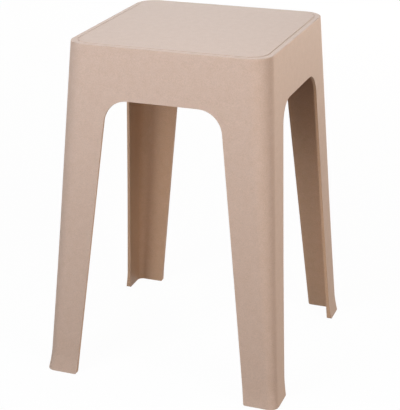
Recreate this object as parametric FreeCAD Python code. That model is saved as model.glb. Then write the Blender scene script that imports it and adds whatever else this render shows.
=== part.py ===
import FreeCAD, Part
import math
import os

# Square stacking stool, one thin-walled plastic moulding, in millimetres.
# +Z is up and the origin is the centre of the footprint on the floor.
# The front is -Y. The moulding is drawn as its plate, rim, walls, feet, ribs
# and stops, which meet face to face.

# Overall size
seat_height = 450.0            # floor to the seat panel
seat_width = 265.0             # across the walls, produced up to the seat panel's level
draft_angle = 3.43             # splay of every wall, in degrees
wall = 3.8                     # walls, measured level
seat_thickness = 4.0           # plate under the seat

# Corners of the walls, outside, seen from above
seat_corner_radius = 27.0      # at the seat
base_corner_radius = 12.0      # at the floor

# Seat top
rim_width = 7.7                # outer wall to the edge of the seat panel
rim_drop = 0.3                 # rim below the panel
rim_roll = 3.0                 # rounding between the rim and the walls
panel_corner_radius = 24.0
groove_width = 1.0             # fine groove round the panel
groove_depth = 0.6             # below the rim

# Arches, one in each side
apron_depth = 67.5             # seat panel down to the arch
knee_width = 61.4              # leg at the arch's level, if the arch had no rounding
foot_width = 41.2              # leg at the floor
arch_radius = 32.0

# Outward sweep of the feet
flare = 3.2
flare_height = 22.0
flare_steps = 5

# Hidden side
rib_thickness = 2.2
rib_depth = 14.0
rib_pitch = 42.0
ribs_each_way = 5
stack_clearance = 0.3          # between the walls of two nested stools
stop_thickness = 2.5

draft = math.tan(math.radians(draft_angle))
seat_half = seat_width / 2
base_half = seat_half + draft * seat_height
reach = 2 * base_half          # beyond everything, for shapes that only cut or bound
overrun = 2 * wall             # how far a cut starts outside what it cuts
rim_level = seat_height - rim_drop
under_seat = rim_level - seat_thickness
arch_level = seat_height - apron_depth
stop_level = seat_height - (wall + stack_clearance) / draft
panel_half = seat_half - rim_width
outer_rib = rib_pitch * (ribs_each_way - 1) / 2
corner_shrink = (seat_corner_radius - base_corner_radius) / seat_height

origin = FreeCAD.Vector(0, 0, 0)
upright = FreeCAD.Vector(0, 0, 1)
sides = {"front": 270, "right": 0, "rear": 90, "left": 180}
corners = {"front_left": 180, "front_right": 270, "rear_left": 90, "rear_right": 0}


def half_width(level):
    """Half the width across the outer walls at a level."""
    return seat_half + draft * (seat_height - level)


def corner_radius(level):
    """Outer corner radius at a level, which shrinks evenly towards the floor."""
    return base_corner_radius + corner_shrink * level


def turned(shape, angle):
    """A copy of a shape, turned about the Z axis."""
    copy = shape.copy()
    copy.rotate(origin, upright, angle)
    return copy


def box(x_low, x_high, y_low, y_high, low, high):
    """A box between six planes."""
    corner = FreeCAD.Vector(x_low, y_low, low)
    return Part.makeBox(x_high - x_low, y_high - y_low, high - low, corner)


def frustum(x_low, y_low, x_high, y_high, low, high):
    """A four-sided block with one half-size at its lower level and one at its upper."""
    block = Part.makeWedge(
        -x_low, 0, -y_low, -y_high, -x_high,
        x_low, high - low, y_low, y_high, x_high,
    )
    block.rotate(origin, FreeCAD.Vector(1, 0, 0), 90)
    block.translate(FreeCAD.Vector(0, 0, low))
    return block


def drafted_block(low, high, inset):
    """The walls' outline as a solid, between two levels and moved inwards by an inset.

    Each corner is a right cone that touches both walls. Its apex lies below the floor,
    where the corner radius would shrink to nothing.
    """
    apex_level = (inset - base_corner_radius) / corner_shrink
    apex_half = half_width(apex_level) - inset
    apex = FreeCAD.Vector(apex_half, apex_half, apex_level)
    inward = draft + corner_shrink
    axis = FreeCAD.Vector(-inward, -inward, 1)
    lean = axis.Length
    sine = corner_shrink / (math.hypot(1, draft) * lean)
    tangent = sine / math.sqrt(1 - sine ** 2)
    touch_slope = inward / (1 + corner_shrink * draft / (1 + draft ** 2))

    def touch(level):
        return apex_half - touch_slope * (level - apex_level)

    start = (low - seat_corner_radius - apex_level) * lean
    end = (high + seat_corner_radius - apex_level) * lean
    foot_point = apex + axis * (start / lean)
    cone = Part.makeCone(start * tangent, end * tangent, end - start, foot_point, axis)
    cone.rotate(apex, axis, 180)
    cone = cone.common(box(-reach, reach, -reach, reach, low, high))
    wide, narrow = half_width(low) - inset, half_width(high) - inset
    blocks = [
        frustum(wide, touch(low), narrow, touch(high), low, high),
        frustum(touch(low), wide, touch(high), narrow, low, high),
    ]
    blocks.extend(turned(cone, 90 * quarter) for quarter in range(4))
    return blocks[0].multiFuse(blocks[1:]).removeSplitter()


def rounded_square(half, radius, level):
    """A closed wire: a square with rounded corners, centred on the Z axis."""
    straight = half - radius
    diagonal = straight + radius * math.sqrt(0.5)
    edges = []
    for quarter in range(4):
        turn = FreeCAD.Rotation(upright, 90 * quarter)
        start = turn.multVec(FreeCAD.Vector(half, -straight, level))
        side_end = turn.multVec(FreeCAD.Vector(half, straight, level))
        middle = turn.multVec(FreeCAD.Vector(diagonal, diagonal, level))
        end = turn.multVec(FreeCAD.Vector(straight, half, level))
        edges.append(Part.makeLine(start, side_end))
        edges.append(Part.Arc(side_end, middle, end).toShape())
    return Part.Wire(edges)


def prism(half, radius, low, high):
    """An upright rounded-square prism between two levels."""
    face = Part.Face(rounded_square(half, radius, low))
    return face.extrude(FreeCAD.Vector(0, 0, high - low))


def flared_block(inset):
    """The feet's outline as a solid, swept outwards in a curve down to the floor."""
    rings = []
    for step in range(flare_steps + 1):
        level = flare_height * step / flare_steps
        outward = flare * (1 - step / flare_steps) ** 2 - inset
        rings.append(rounded_square(half_width(level) + outward, corner_radius(level) - inset, level))
    return Part.makeLoft(rings, True, True)


def arch_halves():
    """Half the arch's width at the floor and, without its rounding, at its top."""
    return base_half - foot_width, half_width(arch_level) - knee_width


def flat_half():
    """Half the level stretch of an arch's top, between its two roundings."""
    foot_half, knee_half = arch_halves()
    lean = math.atan2(foot_half - knee_half, arch_level)
    return knee_half - arch_radius * math.tan((math.pi / 2 - lean) / 2)


def arch_bar():
    """The opening of the front and rear arches, as one bar along Y."""
    foot_half, knee_half = arch_halves()
    low_half = foot_half + (foot_half - knee_half) * overrun / arch_level
    points = [
        FreeCAD.Vector(low_half, -reach, -overrun),
        FreeCAD.Vector(knee_half, -reach, arch_level),
        FreeCAD.Vector(-knee_half, -reach, arch_level),
        FreeCAD.Vector(-low_half, -reach, -overrun),
    ]
    outline = Part.makePolygon(points + points[:1])
    bar = Part.Face(outline).extrude(FreeCAD.Vector(0, 2 * reach, 0))
    knees = [edge for edge in bar.Edges if is_knee(edge)]
    return bar.makeFillet(arch_radius, knees)


def is_knee(edge):
    """True for the bar's two long edges at the arch's level."""
    bounds = edge.BoundBox
    return bounds.YLength > reach and bounds.ZMin > arch_level - overrun


def make_legs(shell, arches):
    """Four legs with their knees: angle sections that narrow towards the floor."""
    legs = {}
    for name, angle in corners.items():
        space = box(flat_half(), reach, flat_half(), reach, flare_height, under_seat)
        legs["leg_" + name] = shell.common(turned(space, angle)).cut(arches)
    return legs


def make_feet(shell, arches):
    """Four flared foot ends that stand on the floor."""
    feet = {}
    for name, angle in corners.items():
        space = box(0, reach, 0, reach, 0, flare_height)
        feet["foot_" + name] = shell.common(turned(space, angle)).cut(arches)
    return feet


def make_aprons(shell):
    """Four level bands over the arches, between the knees."""
    aprons = {}
    for name, angle in sides.items():
        space = box(0, reach, -flat_half(), flat_half(), arch_level, under_seat)
        aprons["apron_" + name] = shell.common(turned(space, angle))
    return aprons


def make_seat_rim():
    """The rolled rim round the seat panel, with the fine groove."""
    block = prism(half_width(under_seat), corner_radius(under_seat), under_seat, rim_level)
    top_edges = block.Faces[-1].Edges
    rolled = block.makeFillet(rim_roll, top_edges)
    opening = prism(panel_half, panel_corner_radius, under_seat - overrun, seat_height + overrun)
    groove = prism(
        panel_half + groove_width,
        panel_corner_radius + groove_width,
        rim_level - groove_depth,
        seat_height + overrun,
    )
    return rolled.cut(opening).cut(groove)


def make_seat_panel():
    """The flat field that a person sits on."""
    return prism(panel_half, panel_corner_radius, under_seat, seat_height)


def web(offset, thickness, start, low):
    """An upright web parallel to Y, centred on an X offset, from a Y start outwards."""
    half = thickness / 2
    return box(offset - half, offset + half, start, reach, low, under_seat)


def crossed(shape):
    """The same shape on the other axis, mirrored in the diagonal plane."""
    return shape.mirror(origin, FreeCAD.Vector(1, -1, 0))


def make_stops(hollow):
    """Deep corner webs that rest on the stool below in a stack."""
    lengthwise = web(outer_rib, stop_thickness, outer_rib - stop_thickness / 2, stop_level)
    angle_web = lengthwise.fuse(crossed(lengthwise)).removeSplitter().common(hollow)
    return {"stacking_stop_" + name: turned(angle_web, angle) for name, angle in corners.items()}


def make_ribs(hollow, stops):
    """The shallow grid of ribs that stiffens the seat plate from below."""
    webs = []
    for number in range(ribs_each_way):
        rib = web(rib_pitch * number - outer_rib, rib_thickness, -reach, under_seat - rib_depth)
        webs.extend([rib, crossed(rib)])
    grid = webs[0].multiFuse(webs[1:]).removeSplitter().common(hollow)
    return grid.cut(list(stops.values()))


def build():
    """All nodes by name."""
    hollow = drafted_block(flare_height, under_seat, wall)
    shell = drafted_block(flare_height, under_seat, 0).cut(hollow)
    foot_shell = flared_block(0).cut(flared_block(wall))
    arches = arch_bar().fuse(turned(arch_bar(), 90))
    stops = make_stops(hollow)
    nodes = {"seat_panel": make_seat_panel(), "seat_rim": make_seat_rim()}
    nodes.update(make_aprons(shell))
    nodes.update(make_legs(shell, arches))
    nodes.update(make_feet(foot_shell, arches))
    nodes["underseat_ribs"] = make_ribs(hollow, stops)
    nodes.update(stops)
    return nodes


os.makedirs("parts", exist_ok=True)
for node, shape in build().items():
    print(node, len(shape.Solids), "solid", round(shape.Volume), "mm3", "valid", shape.isValid())
    shape.exportStep("parts/" + node + ".step")
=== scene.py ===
import math
import bmesh
import bpy
from mathutils import Matrix, Vector


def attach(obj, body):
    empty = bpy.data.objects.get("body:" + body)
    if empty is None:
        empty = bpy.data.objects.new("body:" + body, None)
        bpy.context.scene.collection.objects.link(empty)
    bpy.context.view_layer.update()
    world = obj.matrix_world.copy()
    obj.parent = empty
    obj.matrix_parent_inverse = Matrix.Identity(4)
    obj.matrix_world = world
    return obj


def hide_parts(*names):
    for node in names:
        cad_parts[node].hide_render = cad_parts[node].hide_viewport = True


# A square stacking stool, one thin-walled polypropylene moulding.
# Sizes are in millimetres, and the meshes are written in metres.

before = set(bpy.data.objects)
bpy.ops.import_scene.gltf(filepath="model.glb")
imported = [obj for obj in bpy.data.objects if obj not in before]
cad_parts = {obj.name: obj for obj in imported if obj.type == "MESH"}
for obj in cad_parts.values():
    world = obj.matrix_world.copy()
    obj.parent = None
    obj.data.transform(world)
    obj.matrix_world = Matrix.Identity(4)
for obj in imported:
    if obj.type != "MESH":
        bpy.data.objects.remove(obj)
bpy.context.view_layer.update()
metre = 0.001
weld = 0.00001                   # metres, within which points count as one
seamWeld = 0.00002
sharp = 45                       # degrees, from which an edge is rounded
print("frame loaded, CAD nodes:", len(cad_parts))


def linear(hexColour):
    # sRGB hex to the linear values that the shaders take
    parts = [int(hexColour[i:i + 2], 16) / 255 for i in (1, 3, 5)]
    return [p / 12.92 if p <= 0.04045 else ((p + 0.055) / 1.055) ** 2.4 for p in parts] + [1.0]


def addNode(tree, kind, inputs=None, **settings):
    # adds a node, then its settings, its values and its links
    made = tree.nodes.new(kind)
    for name, value in settings.items():
        setattr(made, name, value)
    for socket, value in (inputs or {}).items():
        if isinstance(value, bpy.types.NodeSocket):
            tree.links.new(value, made.inputs[socket])
        else:
            made.inputs[socket].default_value = value
    return made


# The moulded plastic

plastic = {
    "ior": 1.49,                 # polypropylene
    "cloudSize": 9.0,            # faint clouds in the pigment, from the flow of the melt
    "cloudRange": (0.35, 0.65),  # of the noise, from one colour to the other
    "grainSize": 1.3,            # mould texture, drawn coarser than the real 0.2 mm so that it shows
    "grainRange": (0.3, 0.7),
    "pitShadeAndHighlight": 0.07,             # painted shade in its pits and painted highlight on its tops: how much they darken and lighten the colour
    "roughnessSpread": 0.05,
    "bump": 0.6,
}
# The mould's cavity is spark-eroded: outside, the fine grain makes the surface more matt.
# Its paler colour is painted sheen, the whitish scatter of that grain put into the colour.
texturedSidePaintedSheen = {"colour": "#C9AD9A", "cloud": "#C6A995", "roughness": 0.6, "grainDepth": 0.02}
# Its core is only machined smooth: inside and on the cut edges, it is a little glossier.
# Its deeper, warmer colour is painted shade, the tone of light bounced between the walls.
coreSidePaintedShade = {"colour": "#CCA789", "cloud": "#C9A384", "roughness": 0.5, "grainDepth": 0.006}


def mouldedPolypropylene(name, side):
    # Injection-moulded polypropylene: satin to matt and slightly soft to the eye,
    # with broad dull highlights and barely visible pigment clouds.
    made = bpy.data.materials.new(name)
    made.use_nodes = True
    tree = made.node_tree
    tree.nodes.clear()
    cloudLow, cloudHigh = plastic["cloudRange"]
    grainLow, grainHigh = plastic["grainRange"]
    place = addNode(tree, "ShaderNodeTexCoord").outputs["Object"]
    clouds = addNode(tree, "ShaderNodeTexNoise", {
        "Vector": place, "Scale": 1 / (plastic["cloudSize"] * metre), "Detail": 3.0, "Roughness": 0.55,
    })
    cloudShare = addNode(tree, "ShaderNodeMapRange", {
        "Value": clouds.outputs["Fac"], "From Min": cloudLow, "From Max": cloudHigh,
    })
    colour = addNode(tree, "ShaderNodeMix", {
        "Factor": cloudShare.outputs["Result"], "A": linear(side["colour"]), "B": linear(side["cloud"]),
    }, data_type="RGBA")
    grain = addNode(tree, "ShaderNodeTexNoise", {
        "Vector": place, "Scale": 1 / (plastic["grainSize"] * metre), "Detail": 1.0, "Roughness": 0.6,
    })
    # painted shade in the grain's pits and painted highlight on its tops, following the bump's height
    paintedPitShade = addNode(tree, "ShaderNodeMapRange", {
        "Value": grain.outputs["Fac"], "From Min": grainLow, "From Max": grainHigh,
        "To Min": 1 - plastic["pitShadeAndHighlight"], "To Max": 1 + plastic["pitShadeAndHighlight"],
    }, clamp=False)
    pitShadedColour = addNode(tree, "ShaderNodeHueSaturation", {
        "Color": colour.outputs[2], "Value": paintedPitShade.outputs["Result"],
    })
    gloss = addNode(tree, "ShaderNodeMapRange", {
        "Value": grain.outputs["Fac"], "From Min": grainLow, "From Max": grainHigh,
        "To Min": side["roughness"] - plastic["roughnessSpread"],
        "To Max": side["roughness"] + plastic["roughnessSpread"],
    })
    bump = addNode(tree, "ShaderNodeBump", {
        "Height": grain.outputs["Fac"], "Distance": side["grainDepth"] * metre,
        "Strength": plastic["bump"],
    })
    shader = addNode(tree, "ShaderNodeBsdfPrincipled", {
        "Base Color": pitShadedColour.outputs["Color"], "Roughness": gloss.outputs["Result"],
        "Normal": bump.outputs["Normal"], "IOR": plastic["ior"],
    })
    addNode(tree, "ShaderNodeOutputMaterial", {"Surface": shader.outputs["BSDF"]})
    return made


# the outside copy of the pigment, painted paler as a sheen
outsidePlasticPaintedSheen = mouldedPolypropylene("texturedPolypropylenePaintedSheen", texturedSidePaintedSheen)
# the inside copy of the pigment, painted deeper as shade, also used on the cut edges, ribs and stops
insidePlasticPaintedShade = mouldedPolypropylene("smoothPolypropylenePaintedShade", coreSidePaintedShade)
print("materials ready")

# The seat, walls and legs as one skin

moulding = {
    "height": 450.0,
    "seatHalf": 132.5,           # half the seat's width at the seat panel's level
    "splay": math.tan(math.radians(3.43)),
    "cornerTop": 27.0,
    "cornerFoot": 12.0,
    "wall": 3.8,
    "rimLevel": 449.7,
    "plateUnder": 445.7,         # underside of the seat plate
    "roll": 1.2,                 # rounding from the walls to the rim
    "rootFillet": 2.0,           # inside, between the walls and the plate
    "archLevel": 382.5,
    "kneeWidth": 61.4,
    "footWidth": 41.2,
    "archRadius": 32.0,
    "flare": 2.0,                # the feet's sweep, of the outer face only
    "flareHeight": 26.0,
    "flareCurve": 1.5,           # 1 would sweep out in a straight line
    "legSweep": 1.2,             # and the gentle one down the lower half of the leg
    "legSweepHeight": 190.0,
    "legSweepCurve": 1.3,
    "footCorner": 2.2,           # rounding of the leg's edge where it meets the floor
    "panelHalf": 124.8,
    "panelCorner": 24.0,
    "panelGrid": 100.0,          # half-size of the panel's plain middle
    "groove": [                  # its section: distance outside the panel's edge, and level
        (1.35, 449.7), (1.1, 449.62), (0.98, 449.4), (0.85, 449.17), (0.5, 449.1),
        (0.15, 449.17), (0.02, 449.4), (0.0, 449.7), (-0.08, 449.9), (-0.3, 450.0),
    ],
    "grooveUnder": (0.6, 0.2),   # where its rings start on the plate's underside, and their spacing
    "edgeRound": 0.8,            # along the arches and under the feet
    "edgeSegments": 3,
    "rollSteps": 6,
    "footCornerSteps": 4,
    "flareSteps": 8,
    "legSteps": 10,
    "legColumns": 6,
    "archSteps": 8,              # of the arch's rounding, along the leg and again along the top
    "apronColumns": 4,
    "cornerSteps": 12,
}
m = moulding
baseHalf = m["seatHalf"] + m["splay"] * m["height"]
rollStart = m["rimLevel"] - m["roll"]
innerRollStart = m["plateUnder"] - m["rootFillet"]


def sweepAt(z):
    # how far the outer faces sweep out towards the floor
    leg = m["legSweep"] * max(0.0, 1 - z / m["legSweepHeight"]) ** m["legSweepCurve"]
    return leg + m["flare"] * max(0.0, 1 - z / m["flareHeight"]) ** m["flareCurve"]


def halfAt(z):
    # half the width across the walls
    return m["seatHalf"] + m["splay"] * (m["height"] - z) + sweepAt(z)


def hollowAt(z):
    # half the width inside, where the faces stay straight down to the floor
    return m["seatHalf"] + m["splay"] * (m["height"] - z) - m["wall"]


def cornerAt(z):
    return m["cornerFoot"] + (m["cornerTop"] - m["cornerFoot"]) * z / m["height"]


def straightAt(z):
    # half the flat stretch of a wall
    return halfAt(z) - cornerAt(z)


def innerLevel(z):
    # the inner skin ends lower, where its own rounding starts
    if z <= m["archLevel"]:
        return z
    share = (z - m["archLevel"]) / (rollStart - m["archLevel"])
    return m["archLevel"] + share * (innerRollStart - m["archLevel"])


def mix(a, b, share):
    return a + (b - a) * share


def archOutline():
    # the leg's straight edge as a function of the level, and the rounding's centre and angles
    footHalf = baseHalf - m["footWidth"]
    kneeHalf = m["seatHalf"] + m["splay"] * (m["height"] - m["archLevel"]) - m["kneeWidth"]
    lean = math.atan2(footHalf - kneeHalf, m["archLevel"])
    flatHalf = kneeHalf - m["archRadius"] * math.tan((math.pi / 2 - lean) / 2)
    return footHalf, kneeHalf, lean, flatHalf


def legEdge(z):
    # where the leg's cut edge stands, below the arch's rounding
    footHalf, kneeHalf = archOutline()[:2]
    rest = max(0.0, m["footCorner"] - z)
    rounding = m["footCorner"] - math.sqrt(m["footCorner"] ** 2 - rest ** 2)
    return mix(footHalf, kneeHalf, z / m["archLevel"]) + rounding


def wallPair(x, z):
    # a point of the front wall, outside and inside; the cut edges stay square to the wall
    inZ = innerLevel(z)
    inX = x * straightAt(inZ) / straightAt(z)
    sweep = sweepAt(z)
    if sweep:
        inX -= sweep * (x - legEdge(z)) / (straightAt(z) - legEdge(z))
    return Vector((x, -halfAt(z), z)), Vector((inX, -hollowAt(inZ), inZ))


def ringPoint(half, radius, z, angle):
    straight = half - radius
    return Vector((straight + radius * math.sin(angle), -straight - radius * math.cos(angle), z))


def cornerPair(z, angle):
    inZ = innerLevel(z)
    outer = ringPoint(halfAt(z), cornerAt(z), z, angle)
    return outer, ringPoint(hollowAt(inZ), cornerAt(inZ) - m["wall"], inZ, angle)


def seatRings():
    # (half, corner radius, level) outside and inside, from the top of the walls to the seat panel
    rings = []
    steps = m["rollSteps"]
    topHalf, topCorner = halfAt(rollStart), cornerAt(rollStart)
    inHalf = hollowAt(innerRollStart)
    inCorner = cornerAt(innerRollStart) - m["wall"]
    for step in range(1, steps + 1):
        angle = math.pi / 2 * step / steps
        out, up = m["roll"] * (1 - math.cos(angle)), m["roll"] * math.sin(angle)
        inward, inUp = m["rootFillet"] * (1 - math.cos(angle)), m["rootFillet"] * math.sin(angle)
        rings.append((
            (topHalf - out, topCorner - out, rollStart + up),
            (inHalf - inward, inCorner - inward, innerRollStart + inUp),
        ))
    start, spacing = m["grooveUnder"]
    for index, (outward, level) in enumerate(m["groove"]):
        under = start - spacing * index
        rings.append((
            (m["panelHalf"] + outward, m["panelCorner"] + outward, level),
            (m["panelHalf"] + under, m["panelCorner"] + under, m["plateUnder"]),
        ))
    return rings


def addPatch(mesh, inner, rows):
    # joins a grid of (outside, inside) pairs with quads, and keeps the inside point on each corner
    made = []
    for row in rows:
        line = []
        for outer, inside in row:
            vert = mesh.verts.new(outer * metre)
            vert[inner] = inside * metre
            line.append(vert)
        made.append(line)
    for low, high in zip(made, made[1:]):
        for i in range(len(low) - 1):
            mesh.faces.new((low[i], low[i + 1], high[i + 1], high[i]))


def quarterSkin():
    # the outer skin between two middle planes, round the front right corner
    mesh = bmesh.new()
    inner = mesh.verts.layers.float_vector.new("inner")
    lean, flatHalf = archOutline()[2:]
    radius = m["archRadius"]
    centreZ = m["archLevel"] - radius
    arcStart = centreZ + radius * math.sin(lean)
    columns, steps = m["legColumns"], m["archSteps"]
    low, middle, high = m["footCornerSteps"], m["flareSteps"], m["legSteps"]
    levels = [m["footCorner"] * (1 - math.cos(math.pi / 2 * i / low)) for i in range(low + 1)]
    levels += [mix(m["footCorner"], m["flareHeight"], i / middle) for i in range(1, middle + 1)]
    levels += [mix(m["flareHeight"], arcStart, i / high) for i in range(1, high + 1)]
    legRows = []
    across = [i / columns for i in range(columns + 1)]
    for z in levels:
        legRows.append([(mix(legEdge(z), straightAt(z), share), z) for share in across])
    kneeRows, topShares = [], []
    for k in range(2 * steps + 1):
        angle = mix(lean, math.pi / 2, k / (2 * steps))
        near = (flatHalf + radius * math.cos(angle), centreZ + radius * math.sin(angle))
        if k <= steps:
            z = mix(arcStart, rollStart, k / steps)
            far = (straightAt(z), z)
        else:
            far = (mix(straightAt(rollStart), flatHalf, (k - steps) / steps), rollStart)
        if k >= steps:
            topShares.append(far[0] / straightAt(rollStart))
        kneeRows.append([tuple(mix(a, b, share) for a, b in zip(near, far)) for share in across])
    apronRows = []
    for j in range(m["apronColumns"] + 1):
        x = flatHalf * (1 - j / m["apronColumns"])
        apronRows.append([(x, mix(m["archLevel"], rollStart, share)) for share in across])
        if j:
            topShares.append(x / straightAt(rollStart))
    cornerLevels = levels + [mix(arcStart, rollStart, k / steps) for k in range(1, steps + 1)]
    turns = [math.pi / 2 * i / m["cornerSteps"] for i in range(m["cornerSteps"] + 1)]
    swap = Matrix(((0, -1, 0), (-1, 0, 0), (0, 0, 1)))
    for rows in (legRows, kneeRows, apronRows):
        pairs = [[wallPair(x, z) for x, z in row] for row in rows]
        addPatch(mesh, inner, pairs)
        addPatch(mesh, inner, [[(swap @ a, swap @ b) for a, b in reversed(row)] for row in pairs])
    addPatch(mesh, inner, [[cornerPair(z, angle) for angle in turns] for z in cornerLevels])

    # the rim, the groove and the seat panel
    def ringRow(half, corner, z):
        straight = half - corner
        row = [Vector((share * straight, -half, z)) for share in reversed(topShares)]
        row += [ringPoint(half, corner, z, angle) for angle in turns[1:-1]]
        row += [swap @ point for point in reversed(row[:len(topShares)])]
        return row

    wallTop = (halfAt(rollStart), cornerAt(rollStart), rollStart)
    wallTopInside = (hollowAt(innerRollStart), cornerAt(innerRollStart) - m["wall"], innerRollStart)
    rings = [(wallTop, wallTopInside)] + seatRings()
    rows = [list(zip(ringRow(*outer), ringRow(*inside))) for outer, inside in rings]
    grid = m["panelGrid"]
    rows.append(list(zip(ringRow(grid, 0.0, m["height"]), ringRow(grid, 0.0, m["plateUnder"]))))
    addPatch(mesh, inner, rows)
    shares = list(reversed(topShares))
    field = []
    for sideways in shares:
        line = []
        for along in shares:
            x, y = sideways * grid, -along * grid
            line.append((Vector((x, y, m["height"])), Vector((x, y, m["plateUnder"]))))
        field.append(line)
    addPatch(mesh, inner, [list(column) for column in zip(*field)][::-1])
    bmesh.ops.remove_doubles(mesh, verts=mesh.verts, dist=weld)
    bmesh.ops.recalc_face_normals(mesh, faces=mesh.faces)
    made = bpy.data.meshes.new("quarterSkin")
    mesh.to_mesh(made)
    mesh.free()
    return made


def newTree(name, sizes):
    # a geometry tree with its named inputs
    tree = bpy.data.node_groups.new(name, "GeometryNodeTree")
    tree.interface.new_socket("Geometry", in_out="INPUT", socket_type="NodeSocketGeometry")
    for label, kind in sizes:
        tree.interface.new_socket(label, in_out="INPUT", socket_type=kind)
    tree.interface.new_socket("Geometry", in_out="OUTPUT", socket_type="NodeSocketGeometry")
    return tree


def cornerTurnsTree():
    # repeats one quarter about the middle, and welds the seams;
    # where the points carry an inner position, it adds the inner skin and the cut edges
    tree = newTree("cornerTurns", [
        ("Corners", "NodeSocketInt"), ("Weld Distance", "NodeSocketFloat"),
        ("Outside", "NodeSocketMaterial"), ("Inside", "NodeSocketMaterial"),
    ])
    given = addNode(tree, "NodeGroupInput").outputs
    step = addNode(tree, "ShaderNodeMath", {0: math.tau, 1: given["Corners"]}, operation="DIVIDE")
    number = addNode(tree, "GeometryNodeInputIndex").outputs["Index"]
    turn = addNode(tree, "ShaderNodeMath", {0: number, 1: step.outputs[0]}, operation="MULTIPLY").outputs[0]
    spin = addNode(tree, "ShaderNodeCombineXYZ", {"Z": turn}).outputs[0]
    points = addNode(tree, "GeometryNodeMeshLine", {"Count": given["Corners"], "Offset": (0, 0, 0)})
    turned = addNode(tree, "GeometryNodeInstanceOnPoints", {
        "Points": points.outputs["Mesh"], "Instance": given["Geometry"], "Rotation": spin,
    })
    marked = addNode(tree, "GeometryNodeStoreNamedAttribute", {
        "Geometry": turned.outputs["Instances"], "Name": "turn", "Value": turn,
    }, data_type="FLOAT", domain="INSTANCE")
    real = addNode(tree, "GeometryNodeRealizeInstances", {"Geometry": marked.outputs["Geometry"]})
    inner = addNode(tree, "GeometryNodeInputNamedAttribute", {"Name": "inner"}, data_type="FLOAT_VECTOR")
    angle = addNode(tree, "GeometryNodeInputNamedAttribute", {"Name": "turn"}, data_type="FLOAT")
    innerTurned = addNode(tree, "ShaderNodeVectorRotate", {
        "Vector": inner.outputs["Attribute"], "Angle": angle.outputs["Attribute"],
    }, rotation_type="Z_AXIS")
    stored = addNode(tree, "GeometryNodeStoreNamedAttribute", {
        "Geometry": real.outputs["Geometry"], "Name": "inner", "Value": innerTurned.outputs["Vector"],
    }, data_type="FLOAT_VECTOR", domain="POINT")
    outer = addNode(tree, "GeometryNodeMergeByDistance", {
        "Geometry": stored.outputs["Geometry"], "Distance": given["Weld Distance"],
    }).outputs["Geometry"]
    outer = addNode(tree, "GeometryNodeSetMaterial", {
        "Geometry": outer, "Material": given["Outside"],
    }).outputs["Geometry"]
    sides = addNode(tree, "GeometryNodeInputMeshEdgeNeighbors").outputs[0]
    isOpen = addNode(tree, "FunctionNodeCompare", {2: sides, 3: 1}, data_type="INT",
                     operation="EQUAL").outputs[0]
    band = addNode(tree, "GeometryNodeExtrudeMesh", {
        "Mesh": outer, "Selection": isOpen, "Offset Scale": 0.0,
    }, mode="EDGES")
    innerPlace = addNode(tree, "GeometryNodeInputNamedAttribute", {"Name": "inner"},
                         data_type="FLOAT_VECTOR")
    walled = addNode(tree, "GeometryNodeSetPosition", {
        "Geometry": band.outputs["Mesh"], "Selection": band.outputs["Top"],
        "Position": innerPlace.outputs["Attribute"],
    })
    inside = addNode(tree, "GeometryNodeSetPosition", {
        "Geometry": outer, "Position": innerPlace.outputs["Attribute"],
    })
    flipped = addNode(tree, "GeometryNodeFlipFaces", {"Mesh": inside.outputs["Geometry"]})
    edges = addNode(tree, "GeometryNodeSetMaterial", {
        "Geometry": walled.outputs["Geometry"], "Selection": band.outputs["Side"],
        "Material": given["Inside"],
    })
    smooth = addNode(tree, "GeometryNodeSetMaterial", {
        "Geometry": flipped.outputs["Mesh"], "Material": given["Inside"],
    })
    joined = addNode(tree, "GeometryNodeJoinGeometry")
    tree.links.new(edges.outputs["Geometry"], joined.inputs[0])
    tree.links.new(smooth.outputs["Geometry"], joined.inputs[0])
    welded = addNode(tree, "GeometryNodeMergeByDistance", {
        "Geometry": joined.outputs["Geometry"], "Distance": given["Weld Distance"],
    })
    plain = addNode(tree, "GeometryNodeRealizeInstances", {"Geometry": welded.outputs["Geometry"]})
    addNode(tree, "NodeGroupOutput", {"Geometry": plain.outputs["Geometry"]})
    return tree


def bakeTree(name, mesh, tree, values, finish):
    # runs a geometry tree on a mesh and keeps the result as a plain mesh
    mesh.materials.append(finish)
    maker = bpy.data.objects.new(name + "Maker", mesh)
    bpy.context.scene.collection.objects.link(maker)
    modifier = maker.modifiers.new("nodes", "NODES")
    modifier.node_group = tree
    for item in tree.interface.items_tree:
        if item.in_out == "INPUT" and item.name in values:
            modifier[item.identifier] = values[item.name]
    seen = maker.evaluated_get(bpy.context.evaluated_depsgraph_get())
    made = bpy.data.meshes.new_from_object(seen)
    made.name = name
    bpy.data.objects.remove(maker)
    piece = bpy.data.objects.new(name, made)
    bpy.context.scene.collection.objects.link(piece)
    return piece


def tidyMesh(mesh):
    work = bmesh.new()
    work.from_mesh(mesh)
    bmesh.ops.remove_doubles(work, verts=work.verts, dist=weld)
    bmesh.ops.dissolve_degenerate(work, edges=work.edges, dist=weld)
    bmesh.ops.recalc_face_normals(work, faces=work.faces)
    work.to_mesh(mesh)
    work.free()
    for name in ("inner", "turn"):
        if name in mesh.attributes:
            mesh.attributes.remove(mesh.attributes[name])
    mesh.shade_smooth()


def roundEdges(piece, width, segments):
    # rounds the sharp edges in the outside finish, and keeps the flat faces flat to the eye
    bevel = piece.modifiers.new("edges", "BEVEL")
    bevel.width = width * metre
    bevel.segments = segments
    bevel.limit_method = "ANGLE"
    bevel.angle_limit = math.radians(sharp)
    bevel.material = 0
    weighted = piece.modifiers.new("normals", "WEIGHTED_NORMAL")
    weighted.keep_sharp = False
    weighted.weight = 80


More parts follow.
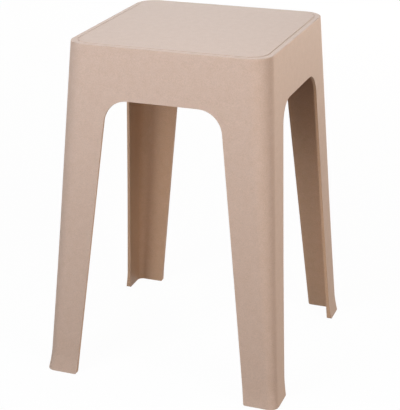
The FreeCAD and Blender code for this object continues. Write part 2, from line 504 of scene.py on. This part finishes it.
cornerTurns = cornerTurnsTree()
stool = bakeTree("stoolMoulding", quarterSkin(), cornerTurns, {
    "Corners": 4, "Weld Distance": seamWeld, "Outside": outsidePlasticPaintedSheen, "Inside": insidePlasticPaintedShade,
}, outsidePlasticPaintedSheen)
tidyMesh(stool.data)
roundEdges(stool, m["edgeRound"], m["edgeSegments"])
shellNodes = [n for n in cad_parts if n.startswith(("seat_", "apron_", "leg_", "foot_"))]
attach(stool, "root")
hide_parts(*shellNodes)
print("moulding:", len(stool.data.polygons), "faces")

# The hidden side: a grid of ribs under the plate, and deeper webs that rest on the stool below

underside = {
    "ribs": 5,                   # each way
    "pitch": 42.0,
    "ribThickness": 2.2,
    "ribDepth": 14.0,
    "stopThickness": 2.5,
    "stopLevel": 381.6,
    "sunk": 0.8,                 # how far ribs run into the plate and the walls
    "bossRadius": 5.0,           # round the point where the melt came in
    "gateRadius": 1.8,
    "gateStub": 1.2,
    "gateDrop": 0.1,             # keeps the gate's hidden end clear of the ribs' tops
    "edgeRound": 0.5,
    "edgeSegments": 2,
}


def ribGridTree():
    # parallel bars both ways and the gate's boss, joined into one closed mesh
    tree = newTree("ribGrid", [
        ("Ribs", "NodeSocketInt"), ("Pitch", "NodeSocketFloat"), ("Thickness", "NodeSocketFloat"),
        ("Depth", "NodeSocketFloat"), ("Length", "NodeSocketFloat"), ("Level", "NodeSocketFloat"),
        ("Boss Radius", "NodeSocketFloat"), ("Gate Radius", "NodeSocketFloat"),
        ("Gate Stub", "NodeSocketFloat"), ("Gate Drop", "NodeSocketFloat"),
        ("Material", "NodeSocketMaterial"),
    ])
    given = addNode(tree, "NodeGroupInput").outputs

    def calculate(operation, a, b):
        return addNode(tree, "ShaderNodeMath", {0: a, 1: b}, operation=operation).outputs[0]

    def moved(geometry, **change):
        settings = {"Geometry": geometry, **change}
        return addNode(tree, "GeometryNodeTransform", settings).outputs["Geometry"]

    size = addNode(tree, "ShaderNodeCombineXYZ", {
        "X": given["Thickness"], "Y": given["Length"], "Z": given["Depth"],
    })
    bar = addNode(tree, "GeometryNodeMeshCube", {"Size": size.outputs[0]}).outputs["Mesh"]
    gaps = calculate("SUBTRACT", given["Ribs"], 1.0)
    span = calculate("MULTIPLY", gaps, given["Pitch"])
    first = calculate("MULTIPLY", span, -0.5)
    halfDepth = calculate("MULTIPLY", given["Depth"], -0.5)
    middle = calculate("ADD", given["Level"], halfDepth)
    start = addNode(tree, "ShaderNodeCombineXYZ", {"X": first, "Z": middle}).outputs[0]
    step = addNode(tree, "ShaderNodeCombineXYZ", {"X": given["Pitch"]}).outputs[0]
    line = addNode(tree, "GeometryNodeMeshLine", {
        "Count": given["Ribs"], "Start Location": start, "Offset": step,
    }).outputs["Mesh"]
    bars = addNode(tree, "GeometryNodeInstanceOnPoints", {
        "Points": line, "Instance": bar,
    }).outputs["Instances"]
    lengthwise = addNode(tree, "GeometryNodeRealizeInstances", {"Geometry": bars}).outputs["Geometry"]
    crosswise = moved(lengthwise, Rotation=(0, 0, math.pi / 2))
    centre = addNode(tree, "ShaderNodeCombineXYZ", {"Z": middle}).outputs[0]
    boss = addNode(tree, "GeometryNodeMeshCylinder", {
        "Vertices": 32, "Radius": given["Boss Radius"], "Depth": given["Depth"],
    }).outputs["Mesh"]
    bossPlaced = moved(boss, Translation=centre)
    gateLength = calculate("ADD", given["Gate Stub"], given["Depth"])
    gate = addNode(tree, "GeometryNodeMeshCylinder", {
        "Vertices": 16, "Radius": given["Gate Radius"], "Depth": gateLength,
    }).outputs["Mesh"]
    halfGate = calculate("MULTIPLY", gateLength, -0.5)
    gateMiddle = calculate("ADD", given["Level"], halfGate)
    gateLowered = calculate("SUBTRACT", gateMiddle, given["Gate Drop"])
    gateCentre = addNode(tree, "ShaderNodeCombineXYZ", {"Z": gateLowered}).outputs[0]
    gatePlaced = moved(gate, Translation=gateCentre)
    union = addNode(tree, "GeometryNodeMeshBoolean", operation="UNION", solver="EXACT")
    for part in (lengthwise, crosswise, bossPlaced, gatePlaced):
        tree.links.new(part, union.inputs["Mesh 2"])
    plain = addNode(tree, "GeometryNodeRealizeInstances", {"Geometry": union.outputs["Mesh"]})
    painted = addNode(tree, "GeometryNodeSetMaterial", {
        "Geometry": plain.outputs["Geometry"], "Material": given["Material"],
    })
    addNode(tree, "NodeGroupOutput", {"Geometry": painted.outputs["Geometry"]})
    return tree


def quarterStop():
    # one corner's two webs, whose outer ends follow the splay of the walls
    u = underside
    near = u["pitch"] * (u["ribs"] - 1) / 2 - u["stopThickness"] / 2
    back = near + u["stopThickness"]
    mesh = bmesh.new()
    loops = []
    for z in (m["plateUnder"] + u["sunk"], u["stopLevel"]):
        reach = hollowAt(z) + u["sunk"]
        outline = [
            (near, -near), (near, -reach), (back, -reach),
            (back, -back), (reach, -back), (reach, -near),
        ]
        loops.append([mesh.verts.new(Vector((x, y, z)) * metre) for x, y in outline])
    top, bottom = loops
    mesh.faces.new(top)
    mesh.faces.new(bottom[::-1])
    for i in range(len(top)):
        j = (i + 1) % len(top)
        mesh.faces.new((top[i], bottom[i], bottom[j], top[j]))
    bmesh.ops.recalc_face_normals(mesh, faces=mesh.faces)
    made = bpy.data.meshes.new("quarterStop")
    mesh.to_mesh(made)
    mesh.free()
    return made


ribs = bakeTree("underseatRibs", bpy.data.meshes.new("empty"), ribGridTree(), {
    "Ribs": underside["ribs"],
    "Pitch": underside["pitch"] * metre,
    "Thickness": underside["ribThickness"] * metre,
    "Depth": (underside["ribDepth"] + underside["sunk"]) * metre,
    "Length": 2 * (hollowAt(m["plateUnder"]) + 2 * underside["sunk"]) * metre,
    "Level": (m["plateUnder"] + underside["sunk"]) * metre,
    "Boss Radius": underside["bossRadius"] * metre,
    "Gate Radius": underside["gateRadius"] * metre,
    "Gate Stub": underside["gateStub"] * metre,
    "Gate Drop": underside["gateDrop"] * metre,
    "Material": insidePlasticPaintedShade,
}, insidePlasticPaintedShade)
stops = bakeTree("stackingStops", quarterStop(), cornerTurns, {
    "Corners": 4, "Weld Distance": seamWeld, "Outside": insidePlasticPaintedShade, "Inside": insidePlasticPaintedShade,
}, insidePlasticPaintedShade)
stopNodes = [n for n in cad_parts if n.startswith("stacking_stop_")]
for piece, nodes in ((ribs, ["underseat_ribs"]), (stops, stopNodes)):
    tidyMesh(piece.data)
    roundEdges(piece, underside["edgeRound"], underside["edgeSegments"])
    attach(piece, "root")
    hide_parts(*nodes)
    print(piece.name, len(piece.data.polygons), "faces")

# Floor, light and camera

view = {
    "place": (555.9, -1546.7, 846.5),
    "yaw": 21.181, "pitch": 21.433, "roll": -0.439,
    "focalPixels": 1289.2, "centre": (170.0, 205.0),
    "width": 400, "height": 410,
}


def makeCamera():
    data = bpy.data.cameras.new("camera")
    camera = bpy.data.objects.new("camera", data)
    bpy.context.scene.collection.objects.link(camera)
    yaw, pitch, roll = (math.radians(view[k]) for k in ("yaw", "pitch", "roll"))
    back = Vector((math.sin(yaw) * math.cos(pitch), -math.cos(yaw) * math.cos(pitch), math.sin(pitch)))
    flatRight = Vector((math.cos(yaw), math.sin(yaw), 0))
    up = back.cross(flatRight)
    right = flatRight * math.cos(roll) + up * math.sin(roll)
    up = up * math.cos(roll) - flatRight * math.sin(roll)
    camera.matrix_world = Matrix((
        (right.x, up.x, back.x, view["place"][0] * metre),
        (right.y, up.y, back.y, view["place"][1] * metre),
        (right.z, up.z, back.z, view["place"][2] * metre),
        (0, 0, 0, 1),
    ))
    longSide = max(view["width"], view["height"])
    data.sensor_width = 36
    data.lens = view["focalPixels"] * data.sensor_width / longSide
    data.shift_x = (view["width"] / 2 - view["centre"][0]) / longSide
    data.shift_y = (view["centre"][1] - view["height"] / 2) / longSide
    data.clip_end = 50
    bpy.context.scene.camera = camera


makeCamera()

studio = {
    "white": 1.0,                # the backdrop, as the camera and reflections see it
    "floorShade": 0.03,          # share of the lit floor in that white, which keeps the stool's shadow
    "floorBounce": "#626160",    # what the floor throws back on the stool
    "floorTone": "#F2F1EF",      # its own colour where the camera sees it
    "floorRadius": 7.0,
    "floorDrop": 0.0002,         # keeps it just below the feet
    "middle": (0.0, 0.0, 0.25),
    "far": (2.6, 1.5),           # a lamp's distance from the stool's middle, and its size
    "near": (1.1, 0.7),
    "neutral": "#FFFFFF",
    "daylight": "#E0EDFF",
    "warmBounce": "#FFF0E1",
}
# direction from the front towards the right and height in degrees, where from, watts, tint
lamps = {
    "keyLeft": (345, 38, "far", 5.7, "neutral"),
    "keyRight": (60, 38, "far", 15.4, "neutral"),
    "frontFill": (330, 20, "far", 21.0, "neutral"),
    "rearWindow": (200, 21, "far", 22.6, "neutral"),
    "rearRight": (158, 7, "far", 37.5, "warmBounce"),
    "nearLeft": (345, 38, "near", 5.6, "daylight"),
    "nearRight": (60, 38, "near", 1.3, "daylight"),
    "nearLow": (60, 7, "near", 2.9, "warmBounce"),
}


def seenAsBackdrop(tree):
    # 1 for the rays that see the white backdrop: from the camera, or by way of a mirror or a clear piece
    rays = addNode(tree, "ShaderNodeLightPath").outputs
    reflected = addNode(tree, "ShaderNodeMath", {
        0: rays["Is Glossy Ray"], 1: rays["Is Transmission Ray"],
    }, operation="MAXIMUM").outputs[0]
    return addNode(tree, "ShaderNodeMath", {
        0: rays["Is Camera Ray"], 1: reflected,
    }, operation="MAXIMUM").outputs[0]


def paleFloor():
    made = bpy.data.materials.new("paleFloor")
    made.use_nodes = True
    tree = made.node_tree
    tree.nodes.clear()
    backdrop = seenAsBackdrop(tree)
    tone = addNode(tree, "ShaderNodeMix", {
        "Factor": backdrop, "A": linear(studio["floorBounce"]), "B": linear(studio["floorTone"]),
    }, data_type="RGBA")
    paint = addNode(tree, "ShaderNodeBsdfDiffuse", {"Color": tone.outputs[2]})
    glow = addNode(tree, "ShaderNodeEmission", {
        "Color": linear(studio["neutral"]), "Strength": studio["white"],
    })
    share = addNode(tree, "ShaderNodeMath", {
        0: backdrop, 1: 1 - studio["floorShade"],
    }, operation="MULTIPLY")
    mixed = addNode(tree, "ShaderNodeMixShader", {
        0: share.outputs[0], 1: paint.outputs[0], 2: glow.outputs[0],
    })
    addNode(tree, "ShaderNodeOutputMaterial", {"Surface": mixed.outputs[0]})
    return made


def makeFloor():
    mesh = bmesh.new()
    bmesh.ops.create_circle(mesh, cap_ends=True, segments=64, radius=studio["floorRadius"])
    data = bpy.data.meshes.new("floor")
    mesh.to_mesh(data)
    mesh.free()
    data.materials.append(paleFloor())
    floor = bpy.data.objects.new("floor", data)
    floor.location.z = -studio["floorDrop"]
    bpy.context.scene.collection.objects.link(floor)


def makeLamp(name, azimuth, height, place, power, tint):
    distance, size = studio[place]
    across, rise = math.radians(azimuth), math.radians(height)
    towards = Vector((
        math.sin(across) * math.cos(rise), -math.cos(across) * math.cos(rise), math.sin(rise),
    ))
    data = bpy.data.lights.new(name, "AREA")
    data.shape = "DISK"
    data.size = size
    data.energy = power
    data.color = linear(studio[tint])[:3]
    lamp = bpy.data.objects.new(name, data)
    lamp.location = Vector(studio["middle"]) + towards * distance
    lamp.rotation_euler = towards.to_track_quat("Z", "Y").to_euler()
    lamp.visible_camera = False
    bpy.context.scene.collection.objects.link(lamp)


def makeWorld():
    world = bpy.data.worlds.new("studio")
    world.use_nodes = True
    tree = world.node_tree
    tree.nodes.clear()
    strength = addNode(tree, "ShaderNodeMath", {
        0: seenAsBackdrop(tree), 1: studio["white"],
    }, operation="MULTIPLY")
    sky = addNode(tree, "ShaderNodeBackground", {
        "Color": linear(studio["neutral"]), "Strength": strength.outputs[0],
    })
    addNode(tree, "ShaderNodeOutputWorld", {"Surface": sky.outputs[0]})
    bpy.context.scene.world = world


makeFloor()
for name, settings in lamps.items():
    makeLamp(name, *settings)
makeWorld()
bpy.context.scene.view_settings.view_transform = "Standard"
print("stage ready")
